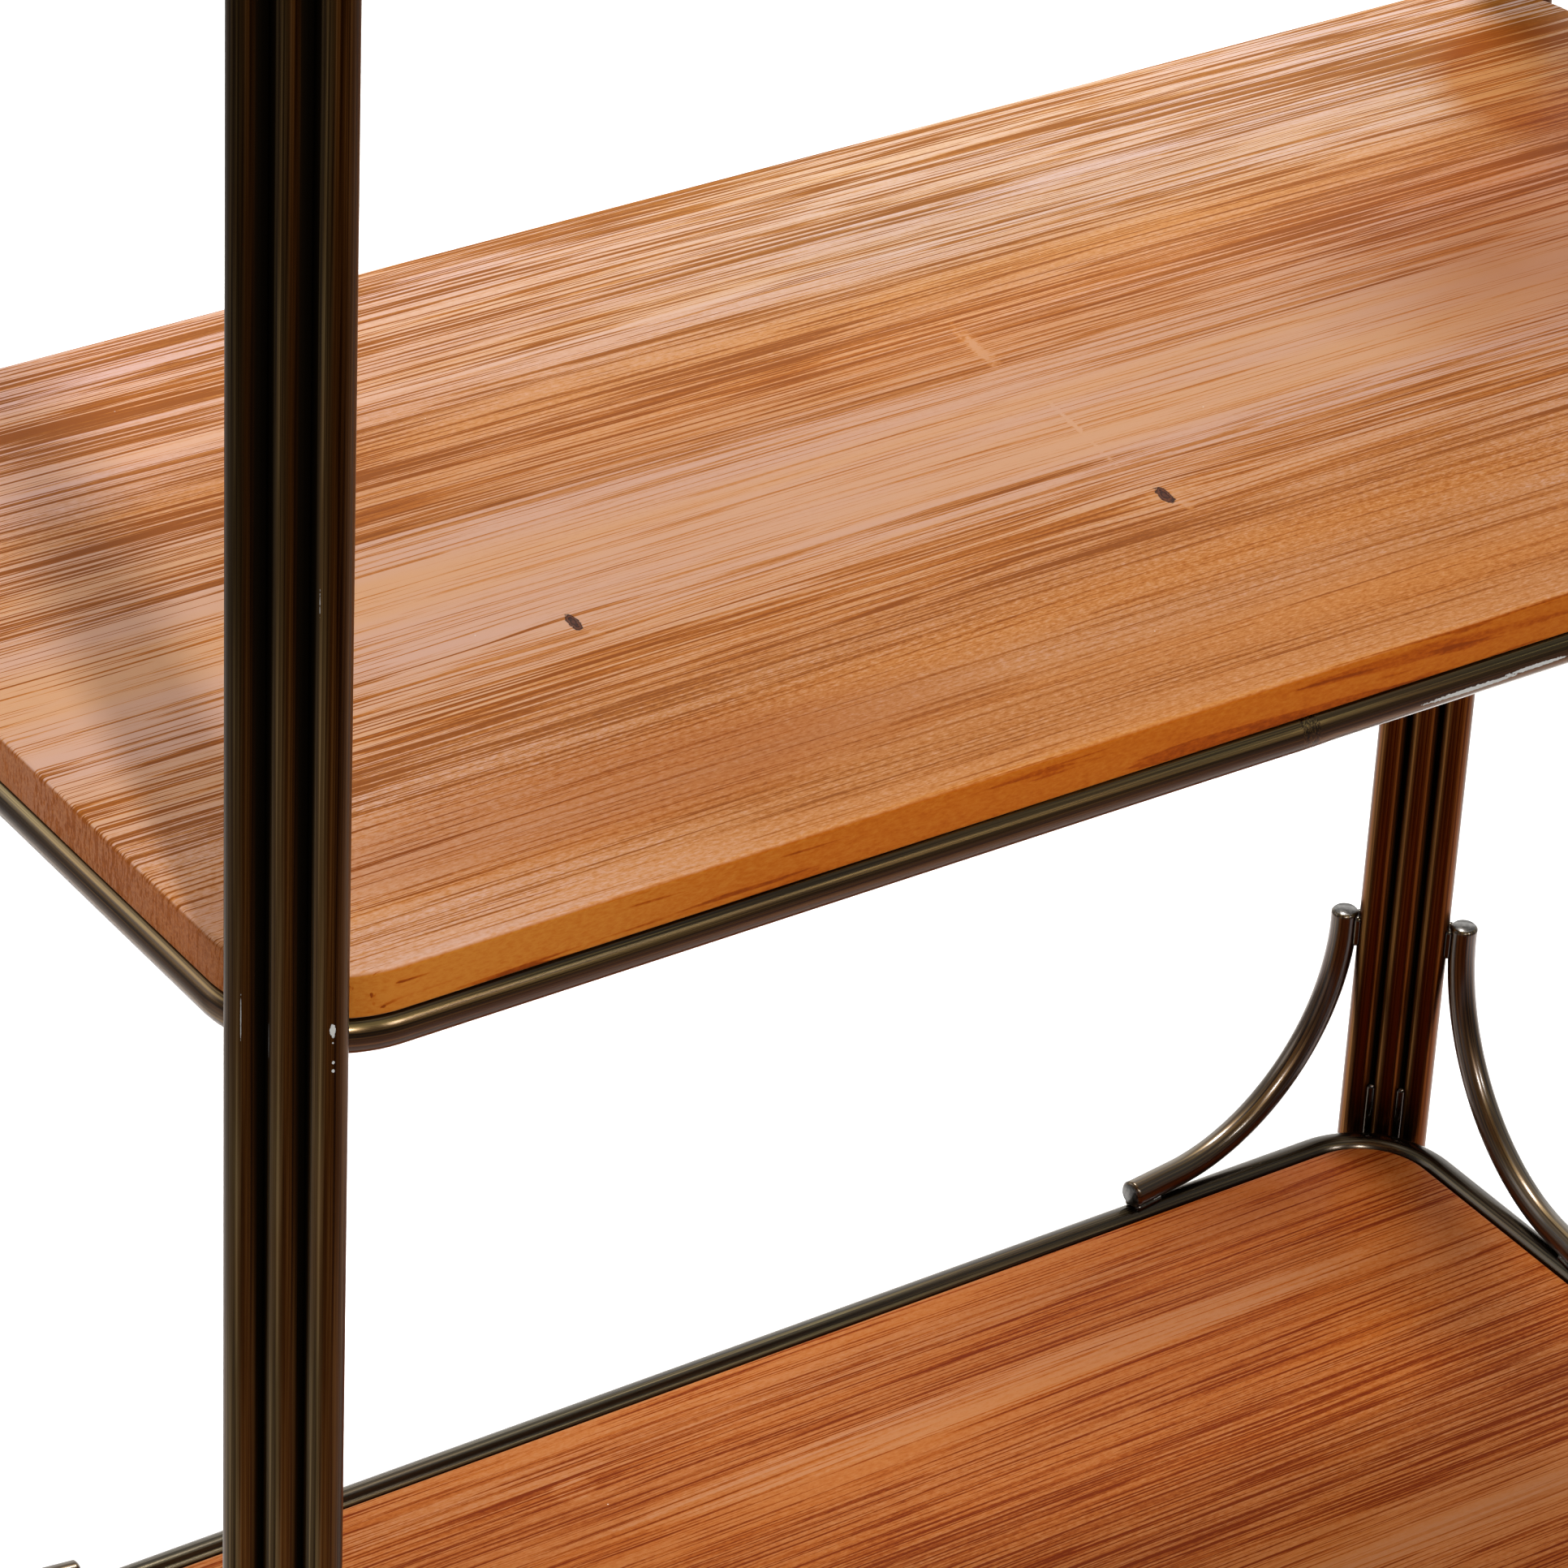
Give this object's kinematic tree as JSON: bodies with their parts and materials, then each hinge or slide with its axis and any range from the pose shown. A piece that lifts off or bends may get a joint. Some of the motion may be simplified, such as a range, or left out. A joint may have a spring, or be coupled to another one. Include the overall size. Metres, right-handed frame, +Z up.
{
  "type": "bakers rack",
  "caption": "Free-standing rack with wooden shelves in bent round tube frames, welded inside corner posts made of tubes set side by side, with curved braces and levelling feet.",
  "frame": {"origin": "on the floor, under the middle of the rack", "axes": "+X to the right along the shelves, +Y to the back, +Z up"},
  "size_m": [0.9078, 0.4738, 1.7535],
  "materials": {
    "lacquered_steel": "semi-gloss dark bronze lacquer over brushed steel",
    "weld_lacquer": "gloss lacquer over weld beads",
    "stained_wood": "satin varnish over orange-brown stain",
    "stained_wood_low": "satin varnish over red-brown stain",
    "zinc_steel": "zinc plated",
    "black_plastic": "moulded"
  },
  "bodies": {
    "rack": {"post_front_left_tube_a": "lacquered_steel", "post_front_left_tube_b": "lacquered_steel", "post_front_left_tube_c": "lacquered_steel", "foot_plate_front_left": "lacquered_steel", "post_front_right_tube_a": "lacquered_steel", "post_front_right_tube_b": "lacquered_steel", "post_front_right_tube_c": "lacquered_steel", "foot_plate_front_right": "lacquered_steel", "post_rear_left_tube_a": "lacquered_steel", "post_rear_left_tube_b": "lacquered_steel", "post_rear_left_tube_c": "lacquered_steel", "foot_plate_rear_left": "lacquered_steel", "post_rear_right_tube_a": "lacquered_steel", "post_rear_right_tube_b": "lacquered_steel", "post_rear_right_tube_c": "lacquered_steel", "foot_plate_rear_right": "lacquered_steel", "post_top_plugs": "black_plastic", "frame_bottom": "lacquered_steel", "board_bottom": "stained_wood_low", "bar_bottom_left": "lacquered_steel", "bar_bottom_right": "lacquered_steel", "screws_bottom": "zinc_steel", "welds_bottom": "weld_lacquer", "frame_counter": "lacquered_steel", "board_counter": "stained_wood", "bar_counter_left": "lacquered_steel", "bar_counter_right": "lacquered_steel", "screws_counter": "zinc_steel", "welds_counter": "weld_lacquer", "frame_third": "lacquered_steel", "board_third": "stained_wood", "bar_third_left": "lacquered_steel", "bar_third_right": "lacquered_steel", "screws_third": "zinc_steel", "welds_third": "weld_lacquer", "frame_top": "lacquered_steel", "board_top": "stained_wood", "bar_top_left": "lacquered_steel", "bar_top_right": "lacquered_steel", "screws_top": "zinc_steel", "welds_top": "weld_lacquer", "brace_front_left_x": "lacquered_steel", "brace_front_left_y": "lacquered_steel", "brace_front_right_x": "lacquered_steel", "brace_front_right_y": "lacquered_steel", "brace_rear_left_x": "lacquered_steel", "brace_rear_left_y": "lacquered_steel", "brace_rear_right_x": "lacquered_steel", "brace_rear_right_y": "lacquered_steel", "welds_braces": "weld_lacquer"},
    "foot_front_left": {"foot_stud_front_left": "zinc_steel", "foot_pad_front_left": "black_plastic"},
    "foot_front_right": {"foot_stud_front_right": "zinc_steel", "foot_pad_front_right": "black_plastic"},
    "foot_rear_left": {"foot_stud_rear_left": "zinc_steel", "foot_pad_rear_left": "black_plastic"},
    "foot_rear_right": {"foot_stud_rear_right": "zinc_steel", "foot_pad_rear_right": "black_plastic"}
  },
  "joints": [
    {"name": "level_front_left", "type": "slide", "parent": "rack", "child": "foot_front_left", "axis": [0, 0, -1], "range_m": [0, 0.012]},
    {"name": "level_front_right", "type": "slide", "parent": "rack", "child": "foot_front_right", "axis": [0, 0, -1], "range_m": [0, 0.012]},
    {"name": "level_rear_left", "type": "slide", "parent": "rack", "child": "foot_rear_left", "axis": [0, 0, -1], "range_m": [0, 0.012]},
    {"name": "level_rear_right", "type": "slide", "parent": "rack", "child": "foot_rear_right", "axis": [0, 0, -1], "range_m": [0, 0.012]}
  ]
}
